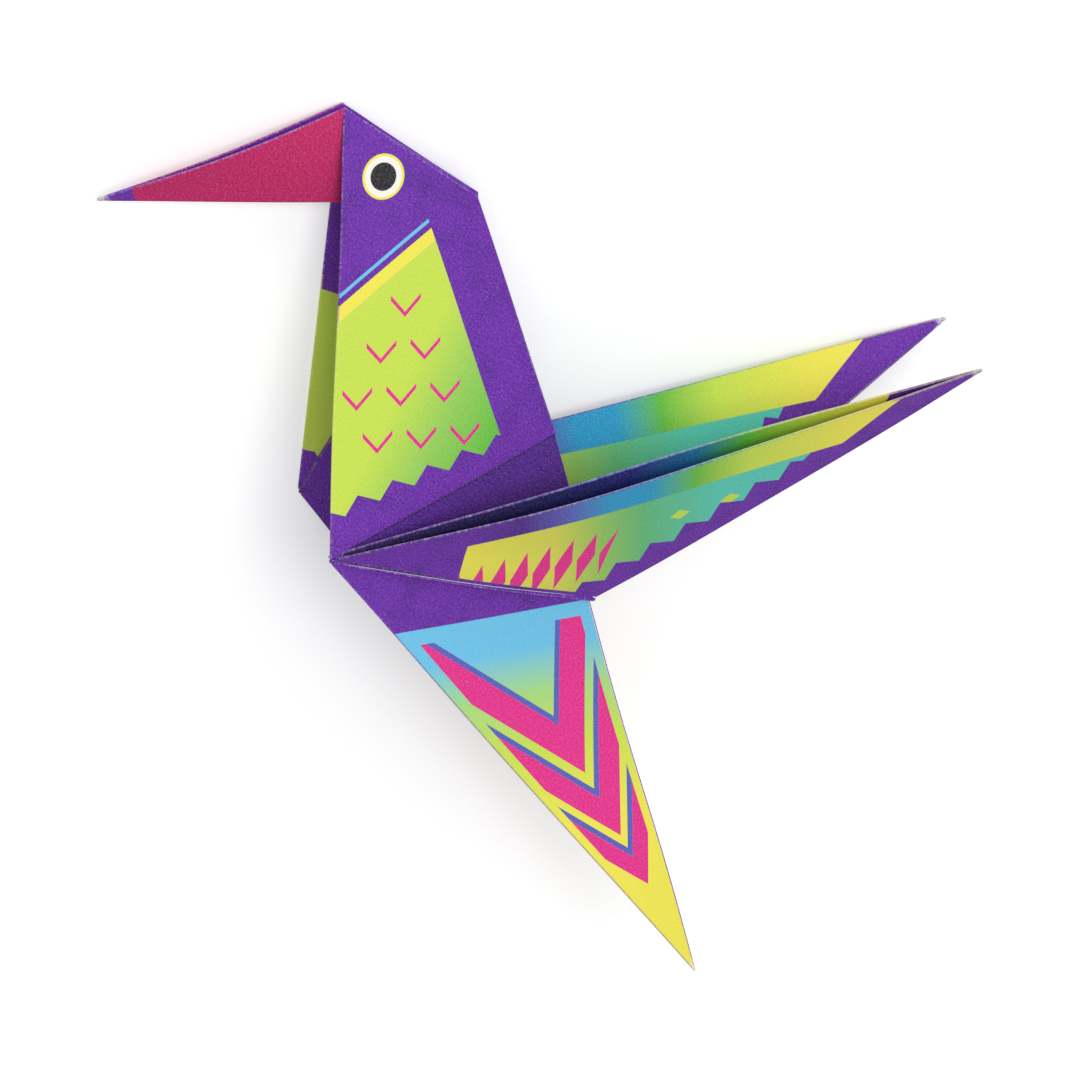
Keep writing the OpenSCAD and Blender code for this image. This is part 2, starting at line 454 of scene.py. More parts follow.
        # Body, with each facet's point at the shoulder
        ends = {
            "outer": self.fold_end_outer(side),
            "crease": self.fold_end_crease(side),
            "inner": self.fold_end_inner(side),
        }
        add("body 1", straight(xo, self.edge_outer(side)), straight(xo, ends["outer"]),
            ("shoulder_outer", "edge_outer", "shoulder_outer", "fold_end_outer"), (point, cut, bend, bend), way)
        add("body 2", straight(xo, leg), straight(xo, ends["crease"]),
            ("shoulder_outer", "cross_leg", "shoulder_outer", "fold_end_crease"),
            (point, white, bend, bend), -way)
        add("body 3", straight(xi, leg), straight(xi, ends["crease"]),
            ("shoulder_inner", "cross_leg", "shoulder_inner", "fold_end_crease"),
            (point, white, bend, bend), way)
        add("body 4", straight(xi, self.edge_inner(side)), straight(xi, ends["inner"]),
            ("shoulder_inner", "edge_inner", "shoulder_inner", "fold_end_inner"),
            (point, cut, white, bend), -way)

        # Tail
        add("tail outer", straight(xi, self.edge_inner(side)), straight(xi, self.tail_tip),
            ("shoulder_inner", "edge_inner", "shoulder_inner", "tail"), (point, cut, white, out), way)
        add("tail lining", straight(xi, self.cross_tail), straight(xi, self.tail_tip),
            ("shoulder_inner", "cross_tail", "shoulder_inner", "tail"), (point, white, bend, out), -way)

        # Wing, each layer with the turn of paper at the wing fold, which goes round the layers inside it
        # The near wing's slot is narrower than the far one's, and both wings' folds stand off the tail
        along_fold = unit(ends["crease"] - xi)
        to_tail = self.tail_tip - xi
        to_tail = unit(to_tail - along_fold * (to_tail @ along_fold))
        inner_bulge = -(s.near_slot_bow if side == 1 else s.wing_bow) * wing
        outer_bulge = (s.near_bow if side == 1 else s.under_bow) * wing
        for layer, shoulder, end, depths, bulge, places, sides, print_to in (
            (1, xo, "outer", (-0.5, -1.0), inner_bulge, ("shoulder_outer", "fold_end_outer"),
             (bend, point, out, cut), -wing),
            (2, xo, "crease", (-0.5, 0.0), inner_bulge, ("shoulder_outer", "fold_end_crease"),
             (bend, point, out, white), wing),
            (3, xi, "crease", (0.5, 0.0), outer_bulge, ("shoulder_inner", "fold_end_crease"),
             (bend, point, out, white), -wing),
            (4, xi, "inner", (0.5, 1.0), outer_bulge, ("shoulder_inner", "fold_end_inner"),
             (bend, point, out, cut), wing),
        ):
            top, low = (self.in_wing(p, side, d) for p, d in zip((shoulder, ends[end]), depths, strict=True))
            rise = s.fold_rise * way
            add(f"wing {layer}", bowed(top, tip, bulge), bowed(low, tip, s.wing_belly * down),
                (places[0], "wing", places[1], "wing"), sides, print_to, rise)
            turn_at = s.fold_turn * (layer - 0.3) * to_tail
            middle = bowed(
                between(shoulder, top, 0.5) + 0.3 * turn_at, between(ends[end], low, 0.5) + turn_at, rise
            )
            body_print, kind, facing = (way, white, -to_tail) if layer % 2 else (-way, out, to_tail)
            add(f"wing fold {layer} under", straight(shoulder, ends[end]), middle,
                places + places, (bend, cut, bend, kind), body_print + facing)
            add(f"wing fold {layer} over", middle, bowed(top, low, rise),
                places + places, (bend, cut, kind, bend), print_to)
        return made

    def rest_pose(self) -> tuple[np.ndarray, np.ndarray]:
        """How the folded sheet lies on the floor.

        The floor goes through the far wing's tip, a point two fifths along the far beak edge and the far
        outer shoulder. The length runs from the tail's tip to the head along the floor.

        Returns:
            The rows of the turn, and the point of the bird's frame that goes to the origin.
        """
        s = self.sizes
        beak = bowed(self.head_front(-1), self.beak_tip, vec(0, 0, -s.beak_bow))(np.array([0.4]))[0]
        feet = (self.wing_tip(-1), beak, self.shoulder_outer(-1))
        up = unit(np.cross(feet[1] - feet[0], feet[2] - feet[0]))
        up = up if up @ (self.head_back - feet[0]) > 0 else -up
        along = self.head_back - self.tail_tip
        length = unit(along - up * (up @ along))
        turn = np.array([length, np.cross(up, length), up])
        t = np.linspace(0, 1, 41)
        corners = np.concatenate(
            [c(t) for side in (1, -1) for f in self.facets(side) for c in (f.first, f.second)]
        ) @ turn.T
        low, high = corners.min(0), corners.max(0)
        return turn, np.array([(low[0] + high[0]) / 2, (low[1] + high[1]) / 2, low[2] - 0.6 * s.paper])


@dataclass
class Patch:
    """Mesh arrays of one facet: points, quads, the quads' skins, places on the sheet and wear."""

    points: np.ndarray
    quads: np.ndarray
    skins: np.ndarray
    places: np.ndarray
    wear: np.ndarray


@dataclass
class PaperSheet:
    """The folded sheet as one mesh of thin slabs, one for each facet.

    Lengths are in millimetres: cell is the grid's step, ripple the height of the paper's waves and
    wear_reach how far the wear fades in from a fold. rim_wear is the wear on the fold itself, 0 to 1.
    """

    fold: BirdFold = field(default_factory=lambda: BirdFold(FoldSizes()))
    cell: float = 1.75
    ripple: float = 0.16
    wear_reach: float = 0.13
    rim_wear: float = 0.6

    # For each kind of side, three places on the rim: how far out, and how far to the print's side
    RIMS: ClassVar[dict[Side, tuple[tuple[float, float], ...]]] = {
        Side.CUT: ((0.012, 0.052), (0.018, 0.0), (0.012, -0.052)),
        Side.BEND: ((0.05, 0.05), (0.06, 0.0), (0.05, -0.05)),
        Side.POINT: ((0.012, 0.052), (0.018, 0.0), (0.012, -0.052)),
        Side.PRINT_OUT: ((0.07, 0.051), (0.121, 0.0), (0.14, -0.066)),
        Side.WHITE_OUT: ((0.14, 0.066), (0.121, 0.0), (0.07, -0.051)),
    }
    # The skins of the rim's four strips, from the print's side to the white side
    RIM_SKINS: ClassVar[dict[Side, tuple[Skin, ...]]] = {
        Side.CUT: (Skin.PRINT, Skin.CORE, Skin.CORE, Skin.WHITE),
        Side.BEND: (Skin.PRINT, Skin.PRINT, Skin.WHITE, Skin.WHITE),
        Side.POINT: (Skin.PRINT, Skin.PRINT, Skin.WHITE, Skin.WHITE),
        Side.PRINT_OUT: (Skin.PRINT, Skin.PRINT, Skin.PRINT, Skin.WHITE),
        Side.WHITE_OUT: (Skin.PRINT, Skin.WHITE, Skin.WHITE, Skin.WHITE),
    }

    def lines(self, length: float) -> np.ndarray:
        """Parameters from 0 to 1: even cells, with two closer lines by each end for the worn folds."""
        even = np.linspace(0, 1, max(3, round(length / self.cell)) + 1)
        close = np.array([0.3, 0.7]) / max(length, 5.0)
        return np.unique(np.round(np.concatenate([even, close, 1 - close]), 6))

    def rippled(self, points: np.ndarray) -> np.ndarray:
        """Points moved a little, all layers alike, as handled paper waves.

        Each coordinate gets a sum of slow sine waves of the other two, faded out near the floor.

        Args:
            points: points in millimetres, in the floor's frame.

        Returns:
            The moved points.
        """
        x, y, z = points.T
        wave = np.stack([
            np.sin(y / 9.1 + 0.6) * np.cos(z / 7.3),
            np.sin(x / 8.3 + 1.1) * np.cos(z / 6.1 + 0.4),
            np.sin(x / 7.7 + y / 12.9) + 0.6 * np.cos(y / 5.9 - x / 15.1),
        ], 1)
        fade = np.clip((z - 0.2) / 2.5, 0, 1) ** 2
        return points + self.ripple * wave * fade[:, None]

    def patch(self, facet: Facet, side: int, turn: np.ndarray, ground: np.ndarray) -> Patch:
        """One facet as a closed slab.

        The middle surface is ruled between the facet's two edges. The printed skin lies half a paper
        thickness to the print's side of it and the white skin as far to the other, and a rim of three
        rows goes round: flat on a cut side, a quarter circle on a fold. By a fold with the print outside
        the whole slab also moves half a thickness to that side, which leaves room for its neighbour.

        Args:
            facet: the facet.
            side: 1 or -1, for the sheet's two halves.
            turn: the rows of the turn into the floor's frame.
            ground: the point that goes to the origin.

        Returns:
            The slab's arrays, in millimetres.
        """
        half = self.fold.sizes.paper / 2
        probe = np.linspace(0, 1, 9)
        a, b = facet.first(probe), facet.second(probe)
        length = max(np.linalg.norm(np.diff(c, axis=0), axis=1).sum() for c in (a, b))
        width = np.linalg.norm(a - b, axis=1).max()
        trim = 0.2 / length
        t, w = self.lines(length), self.lines(width)
        if facet.sides[1] is Side.POINT:
            t = t * (1 - trim)
        if facet.sides[0] is Side.POINT:
            t = trim + t * (1 - trim)
        first, second = facet.first(t), facet.second(t)
        mid = first[:, None] + w[None, :, None] * (second - first)[:, None]
        if facet.start_rise is not None:
            fade = np.exp(-((t * length / self.fold.sizes.fold_reach) ** 2))
            mid = mid + (fade[:, None] * np.sin(pi * w)[None])[..., None] * facet.start_rise
        at = [np.array(p, float) for p in (*facet.first_place, *facet.second_place)]
        row_a = at[0] + t[:, None] * (at[1] - at[0])
        row_b = at[2] + t[:, None] * (at[3] - at[2])
        place = row_a[:, None] + w[None, :, None] * (row_b - row_a)[:, None]
        place[..., 0] *= -side
        n, m = len(t), len(w)

        mid = (mid.reshape(-1, 3) @ turn.T - ground)
        mid = self.rippled(mid).reshape(n, m, 3)
        normal = np.cross(np.gradient(mid, t, axis=0), np.gradient(mid, w, axis=1))
        normal /= np.linalg.norm(normal, axis=2, keepdims=True)
        flip = (normal.reshape(-1, 3).mean(0) @ (turn @ facet.print_to)) < 0
        normal = -normal if flip else normal

        span = np.linalg.norm(second - first, axis=1)[:, None]
        gap = {
            0: np.broadcast_to((t * length)[:, None], (n, m)),
            1: np.broadcast_to(((1 - t) * length)[:, None], (n, m)),
            2: span * w[None],
            3: span * (1 - w)[None],
        }
        lift, wear = np.zeros((n, m)), np.zeros((n, m))
        for k, kind in enumerate(facet.sides):
            if kind is Side.PRINT_OUT:
                lift = np.maximum(lift, np.exp(-((gap[k] / 1.8) ** 2)))
            if kind is not Side.BEND:
                wear = np.maximum(wear, self.rim_wear * np.exp(-gap[k] / self.wear_reach))
        mid = mid + normal * (lift * (half + 0.004))[..., None]

        grid = np.arange(n * m).reshape(n, m)
        loop = np.concatenate([grid[:-1, 0], grid[-1, :-1], grid[:0:-1, -1], grid[0, :0:-1]])
        kinds = ([facet.sides[2]] * (n - 1) + [facet.sides[1]] * (m - 1)
                 + [facet.sides[3]] * (n - 1) + [facet.sides[0]] * (m - 1))
        flat_mid, flat_normal = mid.reshape(-1, 3), normal.reshape(-1, 3)
        rim_mid, rim_normal = flat_mid[loop], flat_normal[loop]
        tangent = np.roll(rim_mid, -1, 0) - np.roll(rim_mid, 1, 0)
        away = np.cross(tangent, rim_normal)
        away /= np.maximum(np.linalg.norm(away, axis=1, keepdims=True), 1e-9)
        clockwise = ((rim_mid - rim_mid.mean(0)) * away).sum() < 0
        away = -away if clockwise else away
        offsets = np.array([self.RIMS[kind] for kind in kinds])
        rings = [
            rim_mid + away * offsets[:, j, :1] + rim_normal * offsets[:, j, 1:]
            for j in range(3)
        ]

        count, edge = n * m, len(loop)
        points = np.concatenate([flat_mid + flat_normal * half, flat_mid - flat_normal * half, *rings])
        quads = np.stack([grid[:-1, :-1], grid[1:, :-1], grid[1:, 1:], grid[:-1, 1:]], -1).reshape(-1, 4)
        top = quads[:, ::-1] if flip else quads
        bottom = (quads if flip else quads[:, ::-1]) + count
        rows = [loop, *(2 * count + j * edge + np.arange(edge) for j in range(3)), loop + count]
        strips, strip_skins = [], []
        skin_rows = np.array([[skin.value for skin in self.RIM_SKINS[kind]] for kind in kinds])
        for j in range(4):
            upper, lower = rows[j], rows[j + 1]
            strip = np.stack([upper, lower, np.roll(lower, -1), np.roll(upper, -1)], 1)
            strips.append(strip if not clockwise else strip[:, ::-1])
            strip_skins.append(skin_rows[:, j])
        flat_place, flat_wear = place.reshape(-1, 2), wear.reshape(-1)
        ring_wear = np.array([0.0 if kind is Side.BEND else self.rim_wear for kind in kinds])
        return Patch(
            points,
            np.concatenate([top, bottom, *strips]),
            np.concatenate([
                np.full(len(top), Skin.PRINT.value),
                np.full(len(bottom), Skin.WHITE.value),
                *strip_skins,
            ]),
            np.concatenate([flat_place, flat_place, *[flat_place[loop]] * 3]),
            np.concatenate([flat_wear, flat_wear, *[ring_wear] * 3]),
        )

    def build(self, materials: list[bpy.types.Material]) -> bpy.types.Object:
        """Join every facet's slab into one object and put it where the CAD says.

        Args:
            materials: the finishes, in the order of Skin.

        Returns:
            The sheet's object.
        """
        turn, ground = self.fold.rest_pose()
        patches = [
            self.patch(facet, side, turn, ground) for side in (1, -1) for facet in self.fold.facets(side)
        ]
        starts = np.cumsum([0, *(len(p.points) for p in patches)])
        points = np.concatenate([p.points for p in patches]) * MM
        points[:, 2] -= points[:, 2].min()
        quads = np.concatenate([p.quads + start for p, start in zip(patches, starts, strict=False)])
        mesh = bpy.data.meshes.new("printed_sheet")
        mesh.from_pydata(points.tolist(), [], quads.tolist())
        for material in materials:
            mesh.materials.append(material)
        mesh.polygons.foreach_set("material_index", np.concatenate([p.skins for p in patches]).astype(np.int32))
        mesh.polygons.foreach_set("use_smooth", np.ones(len(quads), bool))
        places = np.concatenate([p.places for p in patches])
        place = mesh.attributes.new(PLACE, "FLOAT_VECTOR", "POINT")
        flat = np.column_stack([places, np.zeros(len(places))])
        place.data.foreach_set("vector", flat.astype(np.float32).ravel())
        wear = mesh.attributes.new(WEAR, "FLOAT", "POINT")
        wear.data.foreach_set("value", np.concatenate([p.wear for p in patches]).astype(np.float32))
        mesh.update()
        sheet = bpy.data.objects.new("printed_sheet", mesh)
        bpy.context.scene.collection.objects.link(sheet)
        log.info("printed_sheet: %d facets, %d quads", len(patches), len(quads))
        return sheet


@dataclass(frozen=True)
class Ink:
    """A printed colour, as its red, green and blue from 0 to 255."""

    red: int
    green: int
    blue: int

    @property
    def linear(self) -> tuple[float, float, float, float]:
        """The colour as the shader wants it: (c / 255) through the sRGB curve."""
        def one(c: int) -> float:
            """One part of the colour."""
            x = c / 255
            return x / 12.92 if x <= 0.04045 else ((x + 0.055) / 1.055) ** 2.4

        return one(self.red), one(self.green), one(self.blue), 1.0


@dataclass(frozen=True)
class Inks:
    """The print's colours, with a few darker inks that paint shade: under the wings, inside the wings' slots
    and in the neck's crease.
    """

    purple: Ink = Ink(108, 30, 170)
    deep_purple: Ink = Ink(80, 20, 140)
    violet: Ink = Ink(88, 96, 190)
    navy: Ink = Ink(34, 40, 134)
    blue: Ink = Ink(16, 158, 208)
    sky: Ink = Ink(108, 200, 238)
    turquoise: Ink = Ink(84, 208, 186)
    green: Ink = Ink(98, 194, 54)
    lime: Ink = Ink(204, 230, 74)
    yellow: Ink = Ink(246, 236, 76)
    ochre: Ink = Ink(226, 216, 62)
    magenta: Ink = Ink(234, 38, 142)
    rose: Ink = Ink(196, 12, 96)
    leaf: Ink = Ink(150, 210, 84)
    pale_green: Ink = Ink(170, 224, 130)
    butter: Ink = Ink(224, 222, 80)
    spring_green: Ink = Ink(150, 206, 92)
    jade: Ink = Ink(100, 194, 124)
    olive: Ink = Ink(176, 206, 60)
    # Painted shade: the darker purple of the body under the wings
    shaded_body_purple: Ink = Ink(70, 12, 128)
    # Painted shade: darker copies of purple, navy and blue for the shade inside the wings' slots
    slot_shade_purple: Ink = Ink(44, 14, 88)
    slot_shade_navy: Ink = Ink(28, 24, 100)
    slot_shade_blue: Ink = Ink(12, 126, 176)
    # Painted shade: the dark line in the neck's crease
    crease: Ink = Ink(34, 10, 74)
    white: Ink = Ink(250, 248, 238)
    black: Ink = Ink(24, 22, 26)
    bare: Ink = Ink(255, 255, 255)


class InkGraph:
    """Small words for the nodes that work out a print: fields, bands and simple shapes."""

    def __init__(self, tree: bpy.types.NodeTree) -> None:
        """Keep the tree that the nodes go into."""
        self.tree = tree

    def node(self, kind: str) -> bpy.types.Node:
        """A new node of a kind."""
        return self.tree.nodes.new(kind)

    def put(self, socket: Socket, value: Operand | tuple[float, ...]) -> None:
        """Link a socket to another, or set its value."""
        if isinstance(value, bpy.types.NodeSocket):
            self.tree.links.new(value, socket)
        else:
            socket.default_value = value

    def math(self, operation: str, a: Operand, b: Operand = 0.0, c: Operand = 0.0) -> Socket:
        """The result of a Math node.

        Args:
            operation: the node's operation.
            a: the first value.
            b: the second value.
            c: the third value.

        Returns:
            The result's socket.
        """
        node = self.node("ShaderNodeMath")
        node.operation = operation
        for socket, value in zip(node.inputs, (a, b, c), strict=True):
            self.put(socket, value)
        return node.outputs[0]

    def plus(self, a: Operand, b: Operand) -> Socket:
        """a + b."""
        return self.math("ADD", a, b)

    def times(self, a: Operand, b: Operand) -> Socket:
        """a b, also both of two masks."""
        return self.math("MULTIPLY", a, b)

    def sloped(self, a: Operand, slope: float, b: Operand) -> Socket:
        """a slope + b."""
        return self.math("MULTIPLY_ADD", a, slope, b)

    def all_of(self, *masks: Socket) -> Socket:
        """Where every mask is."""
        made = masks[0]
        for mask in masks[1:]:
            made = self.times(made, mask)
        return made

    def any_of(self, *masks: Socket) -> Socket:
        """Where any mask is."""
        made = masks[0]
        for mask in masks[1:]:
            made = self.math("MAXIMUM", made, mask)
        return made

    def over(self, value: Socket, edge: Operand, blur: float = 0.05) -> Socket:
        """A mask that rises from 0 to 1 where value passes edge, over twice the blur, in millimetres."""
        node = self.node("ShaderNodeMapRange")
        node.interpolation_type = "SMOOTHSTEP"
        self.put(node.inputs["Value"], self.math("SUBTRACT", value, edge))
        node.inputs["From Min"].default_value = -blur
        node.inputs["From Max"].default_value = blur
        return node.outputs["Result"]

    def under(self, value: Socket, edge: Operand, blur: float = 0.05) -> Socket:
        """The mask where value is below edge."""
        return self.math("SUBTRACT", 1.0, self.over(value, edge, blur))

    def band(self, value: Socket, low: Operand, high: Operand) -> Socket:
        """The mask where value lies between low and high."""
        return self.times(self.over(value, low), self.under(value, high))

    def mirrored(self, value: Socket, half_pitch: float) -> Socket:
        """Distance from value to the nearest multiple of the pitch."""
        return self.math("PINGPONG", value, half_pitch)

    def ramp(self, value: Socket, stops: tuple[tuple[float, Ink], ...]) -> Socket:
        """A colour that changes along value.

        Args:
            value: the place along the ramp, in millimetres.
            stops: places in millimetres and their inks, in order.

        Returns:
            The colour's socket.
        """
        low, high = stops[0][0], stops[-1][0]
        to_share = self.node("ShaderNodeMapRange")
        self.put(to_share.inputs["Value"], value)
        to_share.inputs["From Min"].default_value = low
        to_share.inputs["From Max"].default_value = high
        node = self.node("ShaderNodeValToRGB")
        self.put(node.inputs["Fac"], to_share.outputs["Result"])
        marks = node.color_ramp.elements
        while len(marks) < len(stops):
            marks.new(0.5)
        for mark, (place, ink) in zip(marks, stops, strict=True):
            mark.position = (place - low) / (high - low)
            mark.color = ink.linear
        return node.outputs["Color"]

    def paint(self, ground: Socket | Ink, colour: Socket | Ink, mask: Operand) -> Socket:
        """Colour laid over ground where the mask is.

        Args:
            ground: what lies under.
            colour: what is laid on.
            mask: 0 to 1.

        Returns:
            The new colour's socket.
        """
        node = self.node("ShaderNodeMix")
        node.data_type = "RGBA"
        self.put(node.inputs["Factor"], mask)
        for socket, value in ((node.inputs[6], ground), (node.inputs[7], colour)):
            self.put(socket, value.linear if isinstance(value, Ink) else value)
        return node.outputs[2]

    def noise(self, place: Socket, scale: float, detail: float = 2.0, roughness: float = 0.5) -> Socket:
        """Noise with scale features to the millimetre."""
        node = self.node("ShaderNodeTexNoise")
        self.put(node.inputs["Vector"], place)
        node.inputs["Scale"].default_value = scale
        node.inputs["Detail"].default_value = detail
        node.inputs["Roughness"].default_value = roughness
        return node.outputs["Fac"]


@dataclass(frozen=True)
class PrintFields:
    """Fields over the flat sheet, in millimetres, and the masks of its regions."""

    along: Socket
    from_side: Socket
    from_fold: Socket
    up_fold: Socket
    neck: Socket
    tail: Socket
    wing: Socket
    outer_layer: Socket
    head_half: Socket
    past_root: Socket


class PrintedSide:
    """The coloured side of the sheet: a generic print of bands, zigzags, chevrons and lozenges."""

    def __init__(self, sizes: FoldSizes, inks: Inks) -> None:
        """Keep the sizes that the print is laid out on."""
        self.sizes, self.inks = sizes, inks

    def fields(self, g: InkGraph, place: Socket) -> PrintFields:
        """Fields that the print is drawn in.

        With u and v the distances from the sheet's centre and c the distance to a corner, from_side is
        (c - u - v) / sqrt 2 and along is (v - u) / sqrt 2. Turned by 22.5 degrees about the shoulder,
        they give from_fold, the distance from the kite's long fold, and up_fold, the distance along it.

        Args:
            g: the graph.
            place: the place on the sheet.

        Returns:
            The fields and masks. Past root is up_fold less the wing fold's place at that from_fold.
        """
        s = self.sizes
        split = g.node("ShaderNodeSeparateXYZ")
        g.put(split.inputs[0], place)
        u, v = split.outputs[0], split.outputs[1]
        beside, height = g.math("ABSOLUTE", u), g.math("ABSOLUTE", v)
        root = 1 / sqrt(2)
        reach = s.corner_reach * root
        from_side = g.sloped(g.plus(beside, height), -root, reach)
        signed = g.times(g.math("SUBTRACT", height, beside), root)
        along = g.math("ABSOLUTE", signed)
        c, n = cos(radians(22.5)), sin(radians(22.5))
        inset = g.math("SUBTRACT", s.half_width, from_side)
        from_fold = g.math("SUBTRACT", g.times(inset, c), g.times(along, n))
        up_fold = g.plus(g.times(inset, n), g.times(along, c))
        head_half, points = g.over(v, 0.0, 0.01), g.over(signed, 0.0, 0.01)
        tail_half, legs = g.math("SUBTRACT", 1.0, head_half), g.math("SUBTRACT", 1.0, points)
        return PrintFields(
            along, from_side, from_fold, up_fold,
            neck=g.times(head_half, points), tail=g.times(tail_half, points), wing=legs,
            outer_layer=g.over(from_fold, 0.0, 0.02), head_half=head_half,
            past_root=g.sloped(from_fold, -1 / tan(radians(ROOT_ANGLE)), up_fold),
        )

    def head_and_chest(self, g: InkGraph, f: PrintFields, ground: Socket) -> Socket:
        """The neck's print: a slanted lime and green field with small chevrons, a yellow band and the eye."""
        k = self.inks
        slant = g.sloped(g.math("MAXIMUM", f.from_fold, 0.0), 0.72, 27.4)
        teeth = g.sloped(g.mirrored(f.from_side, 2.3), 0.75, g.sloped(f.from_side, 0.09, 1.4))
        clear_of_edge = g.over(f.from_side, 6.4)
        inner_reach = g.over(f.from_fold, -9.0)
        chest = g.all_of(f.neck, g.over(f.along, teeth), g.under(f.up_fold, slant), clear_of_edge, inner_reach)
        depth = g.sloped(f.from_fold, 1.0, g.times(f.up_fold, -0.55))
        field_colour = g.ramp(depth, ((-16.0, k.lime), (-2.0, k.lime), (6.0, k.leaf), (14.0, k.green)))
        made = g.paint(ground, field_colour, chest)

        row_pitch, pitch = 5.2, 5.6
        row = g.math("FLOOR", g.math("DIVIDE", f.up_fold, row_pitch))
        row_at = g.sloped(row, row_pitch, row_pitch / 2)
        shift = g.times(row, pitch / 2)
        column = g.math("ROUND", g.math("DIVIDE", g.plus(f.from_fold, shift), pitch))
        column_at = g.math("SUBTRACT", g.times(column, pitch), shift)
        off_axis = g.math("ABSOLUTE", g.math("SUBTRACT", f.from_fold, column_at))
        in_row = g.math("SUBTRACT", f.up_fold, row_at)
        arm = g.math("ABSOLUTE", g.math("SUBTRACT", in_row, g.sloped(off_axis, 1.05, -0.9)))
        edge_room = g.math("SUBTRACT", 21.6, g.plus(g.times(column_at, 0.924), g.times(row_at, 0.383)))
        chevrons = g.all_of(
            f.neck, g.under(arm, 0.3), g.under(off_axis, 1.9), g.band(row_at, 9.5, 38.0),
            g.band(column_at, 2.4, 17.0), g.over(edge_room, 0.0),
            g.over(g.math("SUBTRACT", g.sloped(column_at, 0.72, 24.0), row_at), 0.0),
        )
        made = g.paint(made, k.magenta, chevrons)

        band = g.all_of(
            f.neck, g.band(g.math("SUBTRACT", f.up_fold, slant), 0.0, 1.9), clear_of_edge,
            g.over(f.from_fold, 0.0),
        )
        made = g.paint(made, k.yellow, band)
        thin = g.all_of(
            f.neck, g.band(g.math("SUBTRACT", f.up_fold, slant), 2.8, 3.3), clear_of_edge,
            g.over(f.from_fold, 0.0),
        )
        made = g.paint(made, k.sky, thin)

        down, back = g.math("SUBTRACT", f.up_fold, 43.6), g.math("SUBTRACT", f.from_fold, 5.0)
        radius = g.math("SQRT", g.plus(g.times(down, down), g.times(back, back)))
        on_head = g.times(f.neck, f.outer_layer)
        made = g.paint(made, k.yellow, g.times(on_head, g.under(radius, 2.6)))
        made = g.paint(made, k.white, g.times(on_head, g.under(radius, 2.3)))
        return g.paint(made, k.black, g.times(on_head, g.under(radius, 1.6)))

    def beak(self, g: InkGraph, f: PrintFields, ground: Socket) -> Socket:
        """The beak's print: rose on the smooth layer, with a purple point."""
        past_head = g.over(g.sloped(f.from_fold, -0.643, f.up_fold), 50.9)
        inside = g.under(f.from_fold, 0.0, 0.02)
        rose = g.all_of(f.neck, inside, past_head, g.under(f.up_fold, 77.0))
        return g.paint(ground, self.inks.rose, rose)

    def wings(self, g: InkGraph, f: PrintFields, ground: Socket) -> Socket:
        """The wings' print: a band along the fold, a zigzag field under it and a row of lozenges."""
        k = self.inks
        wing = g.all_of(f.wing, f.outer_layer, g.over(f.past_root, 1.2))
        end = g.sloped(f.from_fold, -1.5, 70.5)
        seam = g.sloped(f.up_fold, 0.035, 2.6)
        band = g.all_of(wing, g.band(f.from_fold, -0.2, seam), g.over(f.up_fold, 15.0), g.under(f.up_fold, end))
        band_colour = g.ramp(f.up_fold, (
            (15.0, k.purple), (23.0, k.deep_purple), (29.0, k.violet), (34.0, k.blue),
            (39.0, k.blue), (44.5, k.green), (51.5, k.lime), (64.0, k.yellow),
        ))
        teeth = g.sloped(g.mirrored(f.along, 2.4), 0.85, 2.5)
        close = g.sloped(f.from_fold, -0.9, 63.5)
        open_at = g.sloped(f.from_fold, -0.35, 17.5)
        low = g.all_of(
            wing, g.over(f.from_fold, seam), g.over(f.from_side, teeth), g.over(f.up_fold, open_at),
            g.under(f.up_fold, close),
        )
        low_colour = g.ramp(f.up_fold, (
            (13.0, k.yellow), (27.0, k.butter), (33.0, k.spring_green), (38.0, k.jade),
            (48.0, k.turquoise), (58.0, k.turquoise),
        ))
        made = g.paint(g.paint(ground, low_colour, low), band_colour, band)

        from_centre = g.math("ABSOLUTE", g.math("SUBTRACT", f.from_fold, 11.6))
        across = g.mirrored(g.sloped(f.from_fold, 0.35, f.up_fold), 1.45)
        lozenge = g.plus(g.math("DIVIDE", across, 1.15), g.math("DIVIDE", from_centre, 4.3))
        in_row = g.band(g.sloped(f.from_fold, 0.35, f.up_fold), 17.4, 37.7)
        row = g.all_of(low, g.under(lozenge, 1.0, 0.04), in_row)
        made = g.paint(made, k.magenta, row)

        dots = g.plus(
            g.math("DIVIDE", g.mirrored(g.plus(f.up_fold, 2.1), 3.2), 1.3),
            g.math("DIVIDE", g.math("ABSOLUTE", g.math("SUBTRACT", f.from_fold, 8.6)), 0.9),
        )
        small = g.all_of(low, g.under(dots, 1.0, 0.05), g.band(f.up_fold, 41.0, 56.0))
        return g.paint(made, k.lime, small)

    def slots(self, g: InkGraph, f: PrintFields, ground: Socket) -> Socket:
        """The lining of the wings, between their two pairs of layers, with its purple, navy and blue darkened
        as painted shade inside the slot.
        """
        k = self.inks
        lining = g.times(f.wing, g.under(f.from_fold, 0.0, 0.02))
        # Painted shade: the lining's purple, navy and blue are darkened for the shade inside the slot
        colour = g.ramp(f.up_fold, (
            (6.0, k.slot_shade_purple), (26.0, k.slot_shade_navy), (38.0, k.navy), (46.0, k.slot_shade_blue),
            (52.0, k.green), (58.0, k.olive), (69.0, k.ochre),
        ))
        made = g.paint(ground, colour, lining)
        return g.paint(made, k.deep_purple, g.times(lining, g.over(f.up_fold, 69.5)))

